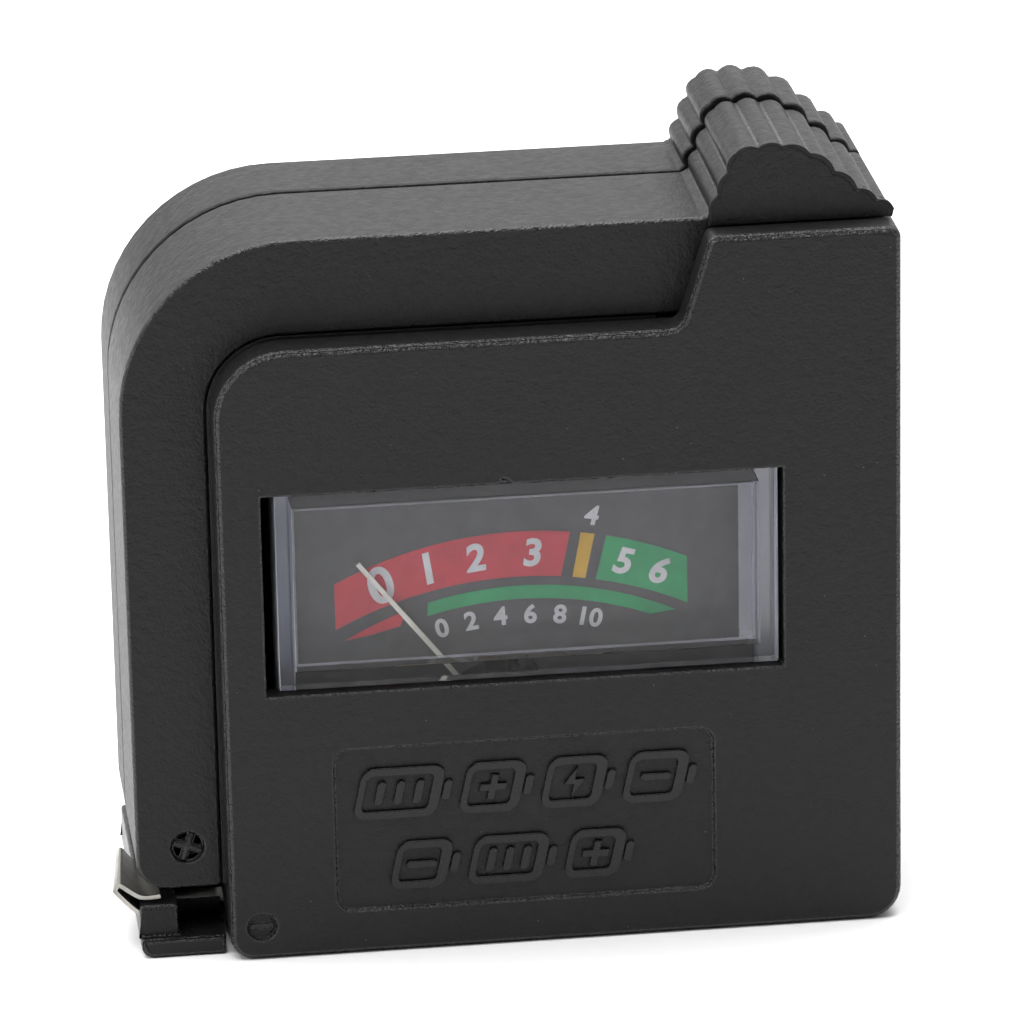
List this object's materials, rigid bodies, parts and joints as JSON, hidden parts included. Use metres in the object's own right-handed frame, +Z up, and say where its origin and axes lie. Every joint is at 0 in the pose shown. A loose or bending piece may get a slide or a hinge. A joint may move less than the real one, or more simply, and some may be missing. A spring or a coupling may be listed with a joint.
{
  "type": "battery tester",
  "caption": "Pocket battery tester with a coloured moving-coil meter, a contact arm drawn upward by a ribbed thumb grip, and a foot with a spring contact strip.",
  "frame": {"origin": "under the middle of the object, at the level it stands on", "axes": "+X to the right as seen from the front, +Y from the meter face to the back, +Z up along the arm's travel"},
  "size_m": [0.0567, 0.024, 0.0584],
  "materials": {
    "black_plastic": "matt black injection-moulded plastic with fine grain and worn, slightly shiny edges",
    "grey_plastic": "dark grey matt moulded plastic",
    "clear_plastic": "clear acrylic with a slight violet tint",
    "dial": "dark grey matt print with red, yellow and green bands",
    "nickel": "nickel-plated spring strip, satin",
    "steel": "zinc-plated steel",
    "brass": "plain brass",
    "copper": "enamelled copper winding",
    "soft_iron": "plain soft iron",
    "needle_white": "off-white paint",
    "resistor_body": "tan lacquered ceramic",
    "red_wire": "red insulation",
    "black_wire": "black insulation"
  },
  "bodies": {
    "body": {"front_cover": "black_plastic", "back_cover": "black_plastic", "screw_lower_left": "steel", "screw_lower_right": "steel", "screw_upper": "steel", "negative_contact": "nickel", "nine_volt_contact_lower": "nickel", "nine_volt_contact_upper": "nickel", "contact_rail": "nickel", "meter_window": "clear_plastic", "meter_case": "grey_plastic", "dial_plate": "dial", "meter_yoke": "soft_iron", "meter_core": "soft_iron", "meter_bridge": "brass", "front_jewel_screw": "brass", "rear_jewel_screw": "brass", "meter_terminal_left": "brass", "meter_terminal_right": "brass", "hairspring": "brass", "load_resistor": "resistor_body", "series_resistor": "resistor_body", "wire_rail": "red_wire", "wire_load": "red_wire", "wire_meter": "red_wire", "wire_negative": "black_wire"},
    "arm": {"arm_front_shell": "black_plastic", "arm_rear_shell": "black_plastic", "positive_contact": "nickel", "arm_conductor": "nickel", "wiper": "nickel"},
    "needle": {"needle": "needle_white", "moving_coil": "copper", "front_pivot": "steel", "rear_pivot": "steel"}
  },
  "joints": [
    {"name": "arm_slide", "type": "slide", "parent": "body", "child": "arm", "axis": [0, 0, 1], "range_m": [0, 0.046]},
    {"name": "needle_swing", "type": "hinge", "parent": "body", "child": "needle", "pos_m": [0.00032, 0, 0.0151], "axis": [0, 1, 0], "range_deg": [0, 78], "stiffness_Nm_per_rad": 0.00002, "springref_deg": -17.19}
  ]
}
